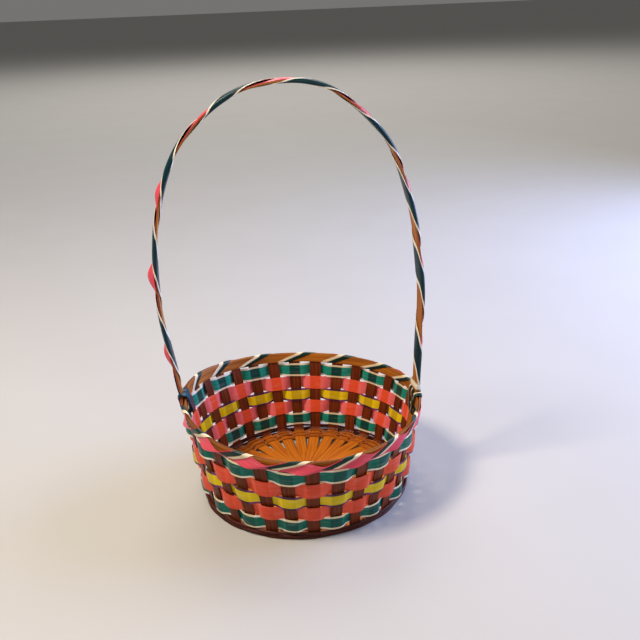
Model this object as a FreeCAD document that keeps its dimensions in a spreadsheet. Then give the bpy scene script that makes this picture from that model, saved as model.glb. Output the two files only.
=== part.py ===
import FreeCAD, Part
import math
import os
import Sketcher
from FreeCAD import Placement, Rotation, Vector

# Woven gift basket with a tall fixed handle.
# Frame: +Z up, origin on the resting plane under the centre, the handle arch in the X-Z plane.
# Stakes are counted from the -Y side towards +X; stake 8 is on +X and carries one handle foot.

SIZES = [
    ("splint_count", 16, "long wood splints that cross under the floor"),
    ("splint_width", 12.8, "width of a splint"),
    ("splint_thick", 0.5, "thickness of a splint"),
    ("stack_pitch", 0.52, "height step from splint to splint at the centre"),
    ("stack_bottom", 1.2, "middle of the lowest splint at the centre"),
    ("stack_reach", 66.0, "radius out to which neighbouring splints overlap"),
    ("ramp_end", 86.0, "radius where every splint has reached the floor level"),
    ("floor_level", 3.6, "middle of the splints at the edge of the floor"),
    ("foot_radius", 110.5, "wall radius at the floor level"),
    ("top_radius", 126.5, "wall radius at the top of the stakes"),
    ("stake_top", 103.5, "height of the ends of the stakes"),
    ("bend_radius", 4.0, "inside radius of the bend from floor to wall"),
    ("weaver_thick", 0.35, "thickness of a plastic ribbon"),
    ("weave_depth", 3.3, "how far a ribbon swings out of the wall surface"),
    ("floor_round_count", 5, "rounds woven through the floor"),
    ("floor_round_first", 90.0, "radius of the innermost floor round"),
    ("floor_round_step", 3.7, "radius step between floor rounds"),
    ("floor_round_width", 2.8, "width of a floor round"),
    ("floor_round_thick", 1.0, "thickness of a floor round"),
    ("floor_round_depth", 1.2, "how far a floor round swings up and down"),
    ("base_ring_gap", 0.65, "gap from the wall surface to the base rings"),
    ("base_ring_width", 2.3, "radial width of a base ring"),
    ("base_ring_height", 2.9, "height of a base ring"),
    ("base_ring_step", 3.0, "height step between base rings"),
    ("base_ring_bevel", 0.6, "bevel on the edges of the base rings"),
    ("band_bottom", 94.2, "lower edge of the two rim bands"),
    ("band_top", 105.0, "upper edge of the two rim bands"),
    ("band_thick", 1.2, "thickness of a rim band"),
    ("band_bevel", 0.6, "bevel on the edges of the rim bands"),
    ("inner_band_gap", 2.2, "wall surface to the outside of the inner band"),
    ("outer_band_gap", 0.65, "wall surface to the inside of the outer band"),
    ("rim_ribbon_margin", 0.7, "rim band showing above and below its ribbon"),
    ("rim_ribbon_sag", 1.6, "how far the rim ribbon stands out between lashings"),
    ("lash_turns", 16, "turns of the lashing round the rim"),
    ("lash_width", 9.4, "lashing width measured along the rim"),
    ("lash_thick", 0.35, "thickness of the lashing"),
    ("handle_width", 12.5, "width of the handle band"),
    ("handle_thick", 1.6, "thickness of the handle band"),
    ("tie_width", 7.5, "tie width measured along the rim"),
    ("handle_inset", 1.2, "wall surface to the middle of the handle band"),
    ("handle_ribbon_width", 10.5, "width of the ribbon on the handle"),
    ("wrap_start", 16.0, "length of bare handle between the rim and its wrap"),
    ("foot_ring_way", 5.0, "height of the ring above the rim along the handle"),
    ("foot_ring_height", 4.4, "height of the ring round the right foot"),
    ("handle_foot", 46.0, "height of the lower ends of the handle band"),
    ("handle_leave", 106.0, "height where the handle leaves the wall line"),
    ("handle_widest", 226.0, "height of the widest point of the handle"),
    ("handle_top", 437.0, "height of the middle of the band at the top"),
    ("handle_crown", 115.0, "radius of the crown of the handle"),
    ("wrap_turns", 9, "turns of the wrap round the handle"),
    ("wrap_width", 22.0, "wrap width measured along the handle"),
    ("wrap_gap", 0.28, "gap between the handle band and what is wound round it"),
    ("wrap_lift", 0.75, "gap between the handle's outer face and its wrap"),
    ("handle_ribbon_sag", 2.6, "how far the handle ribbon stands out between wraps"),
]

# Woven rows from top to bottom: node name, middle height, ribbon width, side at even stakes
ROWS = [
    ("weaver_teal_top", 83.6, 16.0, -1),
    ("weaver_coral_upper", 66.8, 16.0, 1),
    ("weaver_yellow", 50.8, 15.4, -1),
    ("weaver_coral_lower", 35.0, 15.6, 1),
    ("weaver_teal_bottom", 18.6, 15.2, -1),
]

BAND_SPANS = {"rim_band_inner": -1, "rim_band_outer": 1}
POINTS_PER_STAKE = 8
BASE_RINGS = 3

os.makedirs("parts", exist_ok=True)
doc = FreeCAD.newDocument("easter_basket")
sheet = doc.addObject("Spreadsheet::Sheet", "sizes")


def store(row, name, value, note):
    """Put one driving dimension in the sheet under its own alias."""
    sheet.set("A%d" % row, name)
    sheet.set("B%d" % row, str(value))
    sheet.set("C%d" % row, note)
    sheet.setAlias("B%d" % row, name)


for line, (name, value, note) in enumerate(SIZES, start=1):
    store(line, name, value, note)
for line, (name, height, width, side) in enumerate(ROWS, start=len(SIZES) + 1):
    store(line, name + "_height", height, "middle height of the row " + name)
    store(line + len(ROWS), name + "_width", width, "ribbon width of the row " + name)
doc.recompute()


def size(name):
    return float(sheet.get(name))


STAKES = 2 * int(size("splint_count"))
STAKE_ANGLE = 2 * math.pi / STAKES
WALL_RISE = size("stake_top") - size("floor_level")
WALL_SLOPE = (size("top_radius") - size("foot_radius")) / WALL_RISE
WALL_TILT = math.atan(WALL_SLOPE)
WALL_X = "(sizes.foot_radius + (%s - sizes.floor_level) * (sizes.top_radius - sizes.foot_radius)"
WALL_X += " / (sizes.stake_top - sizes.floor_level))"


def wall_radius(height):
    """Radius of the middle surface of the wall at a height."""
    return size("foot_radius") + (height - size("floor_level")) * WALL_SLOPE


def around(angle, radius, height):
    """Point at an angle counted from -Y towards +X."""
    return Vector(radius * math.sin(angle), -radius * math.cos(angle), height)


# ---------------------------------------------------------------- PartDesign helpers

def origin_plane(body, role):
    return next(item for item in body.Origin.OriginFeatures if item.Role == role)


def new_body(label):
    body = doc.addObject("PartDesign::Body", label)
    body.Label = label
    return body


def new_sketch(body, name, role):
    sketch = body.newObject("Sketcher::SketchObject", name)
    sketch.AttachmentSupport = [(origin_plane(body, role), "")]
    sketch.MapMode = "FlatFace"
    return sketch


def pin(sketch, edge, end, across, up, start=(10.0, 10.0)):
    """Hold one end of a sketch edge at two sheet expressions, measured from the origin."""
    for kind, formula, value in (("DistanceX", across, start[0]), ("DistanceY", up, start[1])):
        index = sketch.addConstraint(Sketcher.Constraint(kind, -1, 1, edge, end, value))
        sketch.setExpression("Constraints[%d]" % index, formula)


def pinned_outline(sketch, corners):
    """Closed outline of straight edges whose corners follow sheet expressions.

    A corner whose first expression is None lies on the vertical axis of the sketch."""
    count = len(corners)
    for number in range(count):
        turn = 2 * math.pi * number / count
        follow = 2 * math.pi * (number + 1) / count
        first = Vector(30 + 10 * math.cos(turn), 30 + 10 * math.sin(turn), 0)
        second = Vector(30 + 10 * math.cos(follow), 30 + 10 * math.sin(follow), 0)
        sketch.addGeometry(Part.LineSegment(first, second), False)
    for number in range(count):
        follow = (number + 1) % count
        sketch.addConstraint(Sketcher.Constraint("Coincident", number, 2, follow, 1))
    for number, (across, up) in enumerate(corners):
        if across is None:
            sketch.addConstraint(Sketcher.Constraint("PointOnObject", number, 1, -2))
            index = sketch.addConstraint(Sketcher.Constraint("DistanceY", -1, 1, number, 1, 10.0))
            sketch.setExpression("Constraints[%d]" % index, up)
        else:
            pin(sketch, number, 1, across, up)


def edges_at(shape, across, heights, tolerance=0.05):
    """Names of the straight edges along Y that stand at +-across and one of the heights."""
    found = []
    for number, edge in enumerate(shape.Edges, start=1):
        ends = [vertex.Point for vertex in edge.Vertexes]
        if len(ends) != 2 or abs(ends[0].x - ends[1].x) > tolerance:
            continue
        level = any(abs(ends[0].z - height) < tolerance for height in heights)
        flat = abs(ends[0].z - ends[1].z) < tolerance
        if flat and level and abs(abs(ends[0].x) - across) < 1.0:
            found.append("Edge%d" % number)
    return found


def add_fillet(body, base, name, edges, radius):
    fillet = body.newObject("PartDesign::Fillet", name)
    fillet.Base = (base, edges)
    fillet.Radius = radius
    return fillet


# ---------------------------------------------------------------- wood splints

def splint(number):
    """One long splint: up one wall, across the floor, and up the opposite wall."""
    label = "splint_%02d" % (number + 1)
    body = new_body(label)
    sketch = new_sketch(body, "half_outline", "XZ_Plane")
    half = "sizes.splint_thick / 2"
    middle = "(sizes.stack_bottom + %d * sizes.stack_pitch)" % number
    wall_top = WALL_X % "sizes.stake_top"
    pinned_outline(sketch, [
        (None, middle + " - " + half),
        ("sizes.stack_reach", middle + " - " + half),
        ("sizes.ramp_end", "sizes.floor_level - " + half),
        ("sizes.foot_radius + " + half, "sizes.floor_level - " + half),
        (wall_top + " + " + half, "sizes.stake_top"),
        (wall_top + " - " + half, "sizes.stake_top"),
        ("sizes.foot_radius - " + half, "sizes.floor_level + " + half),
        ("sizes.ramp_end", "sizes.floor_level + " + half),
        ("sizes.stack_reach", middle + " + " + half),
        (None, middle + " + " + half),
    ])
    pad = body.newObject("PartDesign::Pad", "half_strip")
    pad.Profile = sketch
    pad.SideType = "Symmetric"
    pad.setExpression("Length", "sizes.splint_width")
    mirror = body.newObject("PartDesign::Mirrored", "whole_strip")
    mirror.Originals = [pad]
    mirror.MirrorPlane = (origin_plane(body, "YZ_Plane"), [""])
    body.Tip = mirror
    doc.recompute()
    level = size("floor_level")
    thick = size("splint_thick")
    reach = size("foot_radius")
    inner = add_fillet(body, mirror, "inner_bends",
                       edges_at(mirror.Shape, reach - thick / 2, [level + thick / 2]),
                       size("bend_radius"))
    inner.setExpression("Radius", "sizes.bend_radius")
    doc.recompute()
    outer = add_fillet(body, inner, "outer_bends",
                       edges_at(inner.Shape, reach + thick / 2, [level - thick / 2]),
                       size("bend_radius") + thick)
    outer.setExpression("Radius", "sizes.bend_radius + sizes.splint_thick")
    body.Tip = outer
    turn = 180.0 * number / size("splint_count") - 90.0
    body.Placement = Placement(Vector(), Rotation(Vector(0, 0, 1), turn))
    return body


# ---------------------------------------------------------------- turned rings

def ring(label, corners):
    """Ring made by turning a closed straight-edged profile about the vertical axis."""
    body = new_body(label)
    sketch = new_sketch(body, "profile", "XZ_Plane")
    pinned_outline(sketch, corners)
    turned = body.newObject("PartDesign::Revolution", "turned_ring")
    turned.Profile = sketch
    turned.ReferenceAxis = (sketch, ["V_Axis"])
    turned.Angle = 360.0
    body.Tip = turned
    doc.recompute()
    return body


def base_ring(number):
    """Round at the foot of the wall, with bevelled edges and a flat underside."""
    low = "%d * sizes.base_ring_step" % number
    high = low + " + sizes.base_ring_height"
    inside = (WALL_X % ("(%s)" % high)) + " + sizes.base_ring_gap"
    outside = inside + " + sizes.base_ring_width"
    more = " + sizes.base_ring_bevel"
    less = " - sizes.base_ring_bevel"
    return ring("base_ring_%d" % (number + 1),
                [(inside, low + more), (inside + more, low), (outside + less, low),
                 (outside, low + more), (outside, high + less), (outside + less, high),
                 (inside + more, high), (inside, high + less)])


def rim_band(label, side):
    """Conical band against the wall, inside (side -1) or outside (side +1) of the stakes.

    The two edges away from the stakes are bevelled, where the lashing bends round them."""
    sign = "+" if side > 0 else "-"
    gap = "sizes.outer_band_gap" if side > 0 else "sizes.inner_band_gap"
    back = "-" if side > 0 else "+"
    corners = []
    for height, inward in (("sizes.band_bottom", "+"), ("sizes.band_top", "-")):
        near = "%s %s %s" % (WALL_X % height, sign, gap)
        far = "%s %s sizes.band_thick" % (near, sign)
        corners.append([(near, height),
                        ("%s %s sizes.band_bevel" % (far, back), height),
                        (far, "%s %s sizes.band_bevel" % (height, inward))])
    return ring(label, corners[0] + corners[1][::-1])


# ---------------------------------------------------------------- strips

def smooth_edges(points, closed, pieces):
    """One smooth curve through the points, cut into equal pieces."""
    curve = Part.BSplineCurve()
    spans = len(points) if closed else len(points) - 1
    places = [float(number) for number in range(spans + 1)]
    curve.interpolate(Points=points, PeriodicFlag=closed, Parameters=places)
    edges = []
    for number in range(pieces):
        piece = curve.copy()
        piece.segment(spans * number / pieces, spans * (number + 1) / pieces)
        edges.append(piece.toShape())
    return edges


def strip_solid(corner_lines, closed, pieces):
    """Solid strip bounded by four long edges, given in order round its section."""
    sides = [smooth_edges(points, closed, pieces) for points in corner_lines]
    faces = []
    for number, edges in enumerate(sides):
        for first, second in zip(edges, sides[(number + 1) % 4]):
            faces.append(Part.makeRuledSurface(first, second, 1))
    if not closed:
        for end in (0, -1):
            corners = [points[end] for points in corner_lines]
            faces.append(Part.Face(Part.makePolygon(corners + corners[:1])))
    shell = Part.makeShell(faces)
    shell.sewShape()
    solid = Part.makeSolid(Part.makeShell(shell.Faces))
    if solid.Volume < 0:
        solid.reverse()
    return solid


def strip_part(label, corner_lines, closed, pieces):
    part = doc.addObject("Part::Feature", label)
    part.Label = label
    part.Shape = strip_solid(corner_lines, closed, pieces)
    part.Placement = Placement()
    return part


def weaver(label, side):
    """Ribbon woven round the wall: on one side of the even stakes, the other of the odd."""
    middle = size(label + "_height")
    half_width = size(label + "_width") / 2 * math.cos(WALL_TILT)
    half_thick = size("weaver_thick") / 2
    lines = [[], [], [], []]
    for step in range(STAKES * POINTS_PER_STAKE):
        angle = step * STAKE_ANGLE / POINTS_PER_STAKE
        swing = side * size("weave_depth") * math.cos(angle * STAKES / 2)
        low = middle - half_width
        high = middle + half_width
        section = [(low, -half_thick), (low, half_thick), (high, half_thick), (high, -half_thick)]
        for line, (height, offset) in zip(lines, section):
            line.append(around(angle, wall_radius(height) + swing + offset, height))
    return strip_part(label, lines, True, STAKES // 2)


def floor_round(number):
    """Thin splint woven over and under the floor splints."""
    middle = size("floor_round_first") + number * size("floor_round_step")
    half_width = size("floor_round_width") / 2
    half_thick = size("floor_round_thick") / 2
    side = 1 if number % 2 else -1
    squareness = 2.2
    lines = [[], [], [], []]
    for step in range(STAKES * POINTS_PER_STAKE):
        angle = step * STAKE_ANGLE / POINTS_PER_STAKE
        wave = math.tanh(squareness * math.cos(angle * STAKES / 2)) / math.tanh(squareness)
        level = size("floor_level") + side * size("floor_round_depth") * wave
        section = [(-half_width, -half_thick), (half_width, -half_thick),
                   (half_width, half_thick), (-half_width, half_thick)]
        for line, (across, up) in zip(lines, section):
            line.append(around(angle, middle + across, level + up))
    return strip_part("floor_round_%d" % (number + 1), lines, True, STAKES // 2)


def outward(section, number):
    """Unit vector that points out of a closed section at one of its points."""
    before = section[number - 1]
    after = section[(number + 1) % len(section)]
    along = Vector(after[0] - before[0], after[1] - before[1], 0).normalize()
    return along.y, -along.x


def rounded_section(left, right, low, high, radius, spacing):
    """Closed section, counter-clockwise from the middle of its low side, evenly spaced.

    Each point is (across, up, share of the way round)."""
    runs = [("line", (right + left) / 2, low, right - radius, low),
            ("turn", right - radius, low + radius, -90),
            ("line", right, low + radius, right, high - radius),
            ("turn", right - radius, high - radius, 0),
            ("line", right - radius, high, left + radius, high),
            ("turn", left + radius, high - radius, 90),
            ("line", left, high - radius, left, low + radius),
            ("turn", left + radius, low + radius, 180),
            ("line", left + radius, low, (right + left) / 2, low)]
    lengths = [radius * math.pi / 2 if run[0] == "turn"
               else math.hypot(run[3] - run[1], run[4] - run[2]) for run in runs]
    total = sum(lengths)
    count = max(16, round(total / spacing))
    points = []
    for step in range(count):
        rest = total * step / count
        index = 0
        while rest > lengths[index]:
            rest -= lengths[index]
            index += 1
        run = runs[index]
        share = rest / lengths[index]
        if run[0] == "line":
            point = (run[1] + (run[3] - run[1]) * share, run[2] + (run[4] - run[2]) * share)
        else:
            turn = math.radians(run[3] + 90 * share)
            point = (run[1] + radius * math.cos(turn), run[2] + radius * math.sin(turn))
        points.append((point[0], point[1], step / count))
    return points


# Layers at the rim, each measured from the middle surface of the wall
RIM_INSIDE = -size("inner_band_gap") - size("band_thick")
RIBBON_MIDDLE = size("outer_band_gap") + size("band_thick") + 0.1 + size("weaver_thick") / 2
RIM_OUTSIDE = RIBBON_MIDDLE + size("weaver_thick") / 2
LAYER_GAP = 0.1
LASH_START = -1.5 * STAKE_ANGLE
LASH_PITCH = 2 * math.pi / size("lash_turns")


def rim_section(layer):
    """Section of a strip wound round the whole rim; layer 0 is the lashing, 1 lies over it."""
    reach = LAYER_GAP + size("lash_thick") / 2 + layer * (size("lash_thick") + LAYER_GAP)
    return rounded_section(RIM_INSIDE - reach, RIM_OUTSIDE + reach, size("band_bottom") - reach,
                           size("band_top") + reach, 1.2, 0.75)


def rim_strip(label, section, turns, angle_at, width):
    """Closed strip wound round the rim; angle_at gives its place for a count of turns."""
    half_width = width / 2 / size("top_radius")
    half_thick = size("lash_thick") / 2
    lines = [[], [], [], []]
    for turn in range(turns):
        for number, (across, up, share) in enumerate(section):
            angle = angle_at(turn + share)
            normal = outward(section, number)
            corners = [(-half_width, -half_thick), (half_width, -half_thick),
                       (half_width, half_thick), (-half_width, half_thick)]
            for line, (aside, proud) in zip(lines, corners):
                height = up + normal[1] * proud
                radius = wall_radius(height) + across + normal[0] * proud
                line.append(around(angle + aside, radius, height))
    return strip_part(label, lines, True, 4 * turns)


def rim_lashing():
    return rim_strip("rim_lashing", rim_section(0), int(size("lash_turns")),
                     lambda turns: LASH_START + LASH_PITCH * turns, size("lash_width"))


def rim_tie(label, side):
    """Strip looped once round the rim, crossing the lashing at a handle foot."""
    section = rim_section(1)
    centre = side * math.pi / 2
    low = 0.5 * STAKE_ANGLE
    high = -0.52 * STAKE_ANGLE

    def place(turns):
        swing = (1 + math.cos(2 * math.pi * turns)) / 2
        return centre + high + (low - high) * swing

    return rim_strip(label, section, 1, place, size("tie_width"))


def rim_ribbon():
    """Ribbon along the outer band that stands out a little between the lashings."""
    low = size("band_bottom") + size("rim_ribbon_margin")
    high = size("band_top") - size("rim_ribbon_margin")
    half_thick = size("weaver_thick") / 2
    free_from = 0.5 * LASH_PITCH
    free_to = 0.9 * LASH_PITCH
    lines = [[], [], [], []]
    steps = STAKES * POINTS_PER_STAKE
    for step in range(steps):
        angle = step * 2 * math.pi / steps
        phase = (angle - LASH_START) % LASH_PITCH
        bulge = 0.0
        beside_handle = abs(math.cos(angle)) < math.sin(STAKE_ANGLE)
        if free_from < phase < free_to and not beside_handle:
            share = (phase - free_from) / (free_to - free_from)
            bulge = size("rim_ribbon_sag") * math.sin(math.pi * share) ** 2
        section = [(low, -half_thick), (low, half_thick), (high, half_thick), (high, -half_thick)]
        for line, (height, proud) in zip(lines, section):
            radius = wall_radius(height) + RIBBON_MIDDLE + bulge + proud
            line.append(around(angle, radius, height))
    return strip_part("rim_ribbon", lines, True, STAKES // 2)


# ---------------------------------------------------------------- handle

class Arch:
    """Centre line of the handle: a leg, a side arc, a shoulder arc and the crown, mirrored."""

    def __init__(self):
        self.inset = size("handle_inset")
        self.tilt = WALL_TILT
        self.leave = Vector(wall_radius(size("handle_leave")) - self.inset, 0, size("handle_leave"))
        rise = size("handle_widest") - size("handle_leave")
        self.side_radius = rise / math.sin(self.tilt)
        self.widest = self.leave.x + self.side_radius * (1 - math.cos(self.tilt))
        self.crown = size("handle_crown")
        self.crown_height = size("handle_top") - self.crown
        drop = size("handle_widest") - self.crown_height
        self.shoulder_radius = ((self.widest ** 2 + drop ** 2 - self.crown ** 2)
                                / (2 * (self.widest - self.crown)))
        self.shoulder_turn = math.atan2(-drop, self.shoulder_radius - self.widest)
        self.lengths = [self.side_radius * self.tilt,
                        self.shoulder_radius * self.shoulder_turn,
                        self.crown * (math.pi / 2 - self.shoulder_turn)]
        self.half = sum(self.lengths)
        height = size("handle_foot")
        self.foot = Vector(wall_radius(height) - self.inset, 0, height)

    def right(self, way):
        """Point (x, z) and outward angle at a distance above the rim on the +X side."""
        if way <= self.lengths[0]:
            turn = way / self.side_radius - self.tilt
            centre, radius = (self.widest - self.side_radius, size("handle_widest")), self.side_radius
        elif way <= self.lengths[0] + self.lengths[1]:
            turn = (way - self.lengths[0]) / self.shoulder_radius
            centre = (self.widest - self.shoulder_radius, size("handle_widest"))
            radius = self.shoulder_radius
        else:
            turn = self.shoulder_turn + (way - self.lengths[0] - self.lengths[1]) / self.crown
            centre, radius = (0.0, self.crown_height), self.crown
        return centre[0] + radius * math.cos(turn), centre[1] + radius * math.sin(turn), turn

    def at(self, way):
        """Point and outward direction at a distance from the left rim over to the right one."""
        if way > self.half:
            x, z, turn = self.right(2 * self.half - way)
            return Vector(x, 0, z), Vector(math.cos(turn), 0, math.sin(turn))
        x, z, turn = self.right(way)
        return Vector(-x, 0, z), Vector(-math.cos(turn), 0, math.sin(turn))


def add_arc(sketch, centre, radius, start, end):
    circle = Part.Circle(Vector(centre[0], centre[1], 0), Vector(0, 0, 1), radius)
    return sketch.addGeometry(Part.ArcOfCircle(circle, start, end), False)


def handle_band():
    """Flat wood band: half of it swept along the centre line, then mirrored."""
    arch = Arch()
    body = new_body("handle_band")
    path = new_sketch(body, "centre_line", "XZ_Plane")
    leg = path.addGeometry(Part.LineSegment(Vector(arch.foot.x, arch.foot.z, 0),
                                            Vector(arch.leave.x, arch.leave.z, 0)), False)
    widest = size("handle_widest")
    side = add_arc(path, (arch.widest - arch.side_radius, widest), arch.side_radius,
                   -arch.tilt, 0)
    shoulder = add_arc(path, (arch.widest - arch.shoulder_radius, widest), arch.shoulder_radius,
                       0, arch.shoulder_turn)
    crown = add_arc(path, (0, arch.crown_height), arch.crown, arch.shoulder_turn, math.pi / 2)
    for first, second in ((leg, side), (side, shoulder), (shoulder, crown)):
        path.addConstraint(Sketcher.Constraint("Tangent", first, 2, second, 1))
    inset = " - sizes.handle_inset"
    for end, name, point in ((1, "handle_foot", arch.foot), (2, "handle_leave", arch.leave)):
        height = "sizes." + name
        pin(path, leg, end, (WALL_X % height) + inset, height, (point.x, point.z))
    path.addConstraint(Sketcher.Constraint("PointOnObject", crown, 2, -2))
    path.addConstraint(Sketcher.Constraint("PointOnObject", crown, 3, -2))
    for edge, end, name in ((side, 2, "handle_widest"), (shoulder, 3, "handle_widest"),
                            (crown, 2, "handle_top")):
        index = path.addConstraint(
            Sketcher.Constraint("DistanceY", -1, 1, edge, end, size(name)))
        path.setExpression("Constraints[%d]" % index, "sizes." + name)
    index = path.addConstraint(Sketcher.Constraint("Radius", crown, arch.crown))
    path.setExpression("Constraints[%d]" % index, "sizes.handle_crown")
    section = new_sketch(body, "section", "XY_Plane")
    section.setExpression("AttachmentOffset.Base.z", "sizes.handle_foot")
    half_thick = "sizes.handle_thick / 2"
    middle = (WALL_X % "sizes.handle_foot") + inset
    near = middle + " - " + half_thick
    far = middle + " + " + half_thick
    half_width = "sizes.handle_width / 2"
    pinned_outline(section, [(near, "-" + half_width), (far, "-" + half_width),
                             (far, half_width), (near, half_width)])
    doc.recompute()
    pipe = body.newObject("PartDesign::AdditivePipe", "half_band")
    pipe.Profile = section
    pipe.Spine = (path, ["Edge%d" % (number + 1) for number in range(4)])
    body.Tip = pipe
    doc.recompute()
    mirror = body.newObject("PartDesign::Mirrored", "whole_band")
    mirror.Originals = [pipe]
    mirror.MirrorPlane = (origin_plane(body, "YZ_Plane"), [""])
    body.Tip = mirror
    return body


def handle_strip(label, stations):
    """Open strip along the handle; a station is (way, [(across, proud) x 4 corners])."""
    arch = Arch()
    lines = [[], [], [], []]
    for corners in stations:
        for line, (way, across, proud) in zip(lines, corners):
            point, away = arch.at(way)
            line.append(point + away * proud + Vector(0, across, 0))
    return strip_part(label, lines, False, 4 * int(size("wrap_turns")))


HANDLE_RIBBON = size("handle_thick") / 2 + LAYER_GAP + size("weaver_thick") / 2
FREE_SHARE = 0.14


def handle_ribbon():
    """Ribbon along the outer face of the handle that stands out between the wraps."""
    arch = Arch()
    start = size("wrap_start")
    pitch = (2 * arch.half - 2 * start) / size("wrap_turns")
    half_width = size("handle_ribbon_width") / 2
    half_thick = size("weaver_thick") / 2
    stations = []
    steps = int(size("wrap_turns")) * 24
    for step in range(steps + 1):
        way = start + (2 * arch.half - 2 * start) * step / steps
        # the wrap lies on the outer face at each whole turn, and leaves it free half-way
        phase = ((way - start) / pitch) % 1.0
        free = max(0.0, 1 - abs(phase - 0.5) / FREE_SHARE)
        middle = HANDLE_RIBBON + size("handle_ribbon_sag") * math.sin(math.pi * free / 2) ** 2
        stations.append([(way, -half_width, middle - half_thick), (way, half_width, middle - half_thick),
                         (way, half_width, middle + half_thick), (way, -half_width, middle + half_thick)])
    return handle_strip("handle_ribbon", stations)


def handle_wrap():
    """Strip wound in long turns round the handle and its ribbon."""
    arch = Arch()
    start = size("wrap_start")
    pitch = (2 * arch.half - 2 * start) / size("wrap_turns")
    reach = size("wrap_gap") + size("lash_thick") / 2
    half_width = size("handle_width") / 2 + reach
    inside = -size("handle_thick") / 2 - reach
    outside = HANDLE_RIBBON + size("weaver_thick") / 2 + size("wrap_lift")
    # counter-clockwise from the middle of the outer face: across is Y, up is inward
    section = rounded_section(-half_width, half_width, -outside, -inside, 0.8, 0.7)
    half_thick = size("lash_thick") / 2
    half_long = size("wrap_width") / 2
    stations = []
    for turn in range(int(size("wrap_turns"))):
        for number, (across, up, share) in enumerate(section):
            way = start + pitch * (turn + share)
            normal = outward(section, number)
            corners = []
            for aside, proud in ((-half_long, -half_thick), (half_long, -half_thick),
                                 (half_long, half_thick), (-half_long, half_thick)):
                corners.append((way + aside, across + normal[0] * proud, -up - normal[1] * proud))
            stations.append(corners)
    return handle_strip("handle_wrap", stations)


def foot_ring():
    """Ribbon ring round the right foot of the handle, just above the rim."""
    arch = Arch()
    reach = size("wrap_gap") + size("lash_thick") / 2
    half_width = size("handle_width") / 2 + reach
    half_across = size("handle_thick") / 2 + reach
    section = rounded_section(-half_width, half_width, -half_across, half_across, 0.7, 0.6)
    half_thick = size("lash_thick") / 2
    half_tall = size("foot_ring_height") / 2
    middle = 2 * arch.half - size("foot_ring_way")
    lines = [[], [], [], []]
    for number, (across, up, share) in enumerate(section):
        normal = outward(section, number)
        for line, (aside, proud) in zip(lines, ((-half_tall, -half_thick), (half_tall, -half_thick),
                                                (half_tall, half_thick), (-half_tall, half_thick))):
            point, away = arch.at(middle + aside)
            line.append(point + away * (up + normal[1] * proud)
                        + Vector(0, across + normal[0] * proud, 0))
    return strip_part("foot_ring_right", lines, True, 4)


for number in range(int(size("splint_count"))):
    splint(number)
for number in range(int(size("floor_round_count"))):
    floor_round(number)
for number in range(BASE_RINGS):
    base_ring(number)
for label, height, width, side in ROWS:
    weaver(label, side)
for label, side in BAND_SPANS.items():
    rim_band(label, side)
rim_ribbon()
rim_lashing()
rim_tie("rim_tie_left", -1)
rim_tie("rim_tie_right", 1)
handle_band()
handle_ribbon()
handle_wrap()
foot_ring()
doc.recompute()

for item in doc.Objects:
    if "Invalid" in item.State or "Error" in item.State:
        raise RuntimeError("%s did not compute: %s" % (item.Name, item.State))
parts = [item for item in doc.Objects
         if item.TypeId in ("PartDesign::Body", "Part::Feature") and item.getParentGeoFeatureGroup() is None]
for part in parts:
    shape = part.Shape
    if shape.isNull() or not shape.isValid() or len(shape.Solids) != 1 or shape.Volume <= 0:
        raise RuntimeError("%s is not one valid solid" % part.Label)
    shape.exportStep("parts/%s.step" % part.Label)
    print(part.Label, round(shape.Volume, 1), [round(v, 1) for v in
          (shape.BoundBox.XMin, shape.BoundBox.XMax, shape.BoundBox.YMin, shape.BoundBox.YMax,
           shape.BoundBox.ZMin, shape.BoundBox.ZMax)])
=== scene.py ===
"""Woven easter basket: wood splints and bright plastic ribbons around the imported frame."""
import math

import bpy
import numpy as np
from mathutils import Matrix, Vector


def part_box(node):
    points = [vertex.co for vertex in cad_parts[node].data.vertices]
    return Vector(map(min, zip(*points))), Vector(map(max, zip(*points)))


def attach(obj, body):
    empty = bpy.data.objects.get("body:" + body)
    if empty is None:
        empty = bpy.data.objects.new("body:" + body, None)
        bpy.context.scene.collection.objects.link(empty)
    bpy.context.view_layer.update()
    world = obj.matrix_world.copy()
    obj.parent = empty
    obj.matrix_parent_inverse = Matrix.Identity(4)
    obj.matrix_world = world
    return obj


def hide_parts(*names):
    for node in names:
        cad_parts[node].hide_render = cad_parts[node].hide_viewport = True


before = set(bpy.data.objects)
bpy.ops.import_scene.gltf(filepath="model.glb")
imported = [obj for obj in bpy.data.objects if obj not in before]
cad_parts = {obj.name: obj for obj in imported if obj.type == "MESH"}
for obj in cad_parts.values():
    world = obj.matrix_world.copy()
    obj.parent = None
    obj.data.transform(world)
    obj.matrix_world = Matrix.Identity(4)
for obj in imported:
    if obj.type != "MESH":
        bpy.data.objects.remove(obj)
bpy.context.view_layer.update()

MM = 0.001
RANDOM = np.random.default_rng(11)

# ---------------------------------------------------------------- sizes from the frame, in mm


def box_mm(node):
    """Lowest and highest corner of a CAD node in millimetres."""
    low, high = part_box(node)
    return np.array(low) / MM, np.array(high) / MM


SPLINT_COUNT = len([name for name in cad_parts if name.startswith("splint_")])
STAKES = 2 * SPLINT_COUNT
STAKE_ANGLE = 2 * math.pi / STAKES
STAKE_WIDTH = 12.8
STAKE_THICK = 0.45
RIBBON_THICK = 0.35
WEAVE_DEPTH = 3.3

CORAL_HIGH = box_mm("weaver_coral_upper")[1]
CORAL_LOW = box_mm("weaver_coral_lower")[1]
WALL_SLOPE = (CORAL_HIGH[0] - CORAL_LOW[0]) / (CORAL_HIGH[2] - CORAL_LOW[2])
BAND_LOW, BAND_HIGH = (corner[2] for corner in box_mm("rim_band_outer"))
FOOT_Z = 3.6
STAKE_TOP = box_mm("splint_01")[1][2]


def wall(height):
    """Radius of the wall's middle surface."""
    return CORAL_LOW[0] - WEAVE_DEPTH - RIBBON_THICK / 2 + WALL_SLOPE * (height - CORAL_LOW[2])


# ---------------------------------------------------------------- hand-made unevenness


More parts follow.
